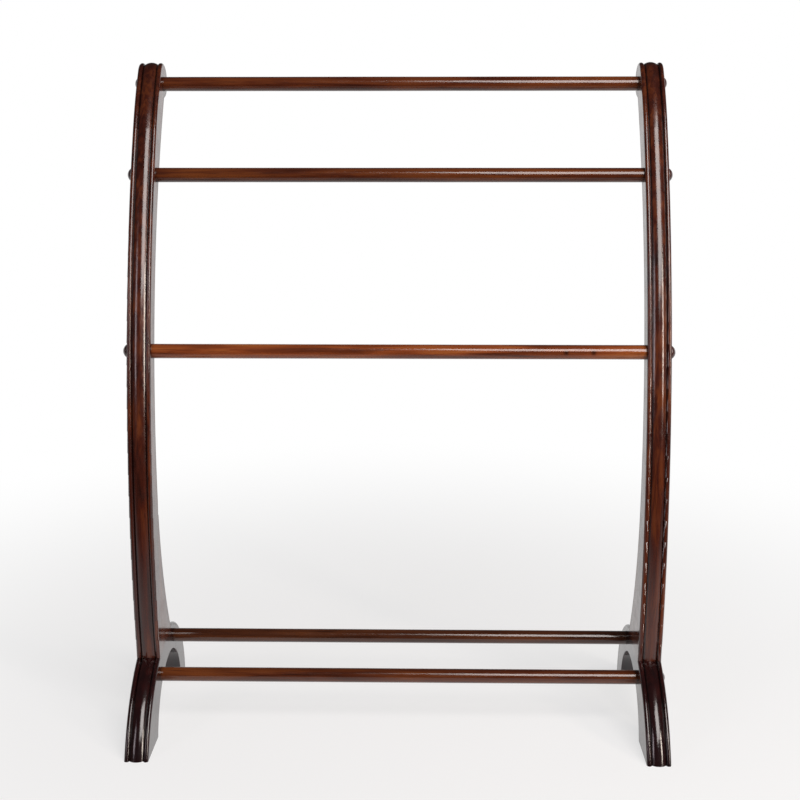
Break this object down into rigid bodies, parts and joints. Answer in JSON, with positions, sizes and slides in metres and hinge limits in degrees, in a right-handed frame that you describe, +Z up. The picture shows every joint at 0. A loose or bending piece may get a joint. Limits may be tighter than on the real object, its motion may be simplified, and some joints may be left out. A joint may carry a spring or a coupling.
{
  "type": "quilt rack",
  "caption": "Free-standing wooden quilt rack: round rails between two curved side frames with reeded edges on arched feet.",
  "frame": {"origin": "on the floor, at the middle of the rack's width and depth", "axes": "+X along the rails, the front of the rack faces -Y, +Z up"},
  "size_m": [0.7482, 0.3382, 0.9155],
  "materials": {
    "stained_boards": "gloss lacquer over dark red-brown stain",
    "stained_rails": "gloss lacquer over dark red-brown stain",
    "stained_buttons": "gloss lacquer over dark red-brown stain",
    "screw_steel": "zinc plated",
    "plain_beech": "bare"
  },
  "bodies": {
    "root": {"left_upright": "stained_boards", "left_base": "stained_boards", "left_top_button": "stained_buttons", "left_upper_button": "stained_buttons", "left_middle_button": "stained_buttons", "left_lower_back_button": "stained_buttons", "left_lower_front_button": "stained_buttons", "left_rail_screws": "screw_steel", "left_joint_pins": "plain_beech", "right_upright": "stained_boards", "right_base": "stained_boards", "right_top_button": "stained_buttons", "right_upper_button": "stained_buttons", "right_middle_button": "stained_buttons", "right_lower_back_button": "stained_buttons", "right_lower_front_button": "stained_buttons", "right_rail_screws": "screw_steel", "right_joint_pins": "plain_beech", "top_rail": "stained_rails", "upper_rail": "stained_rails", "middle_rail": "stained_rails", "lower_back_rail": "stained_rails", "lower_front_rail": "stained_rails"}
  },
  "joints": []
}
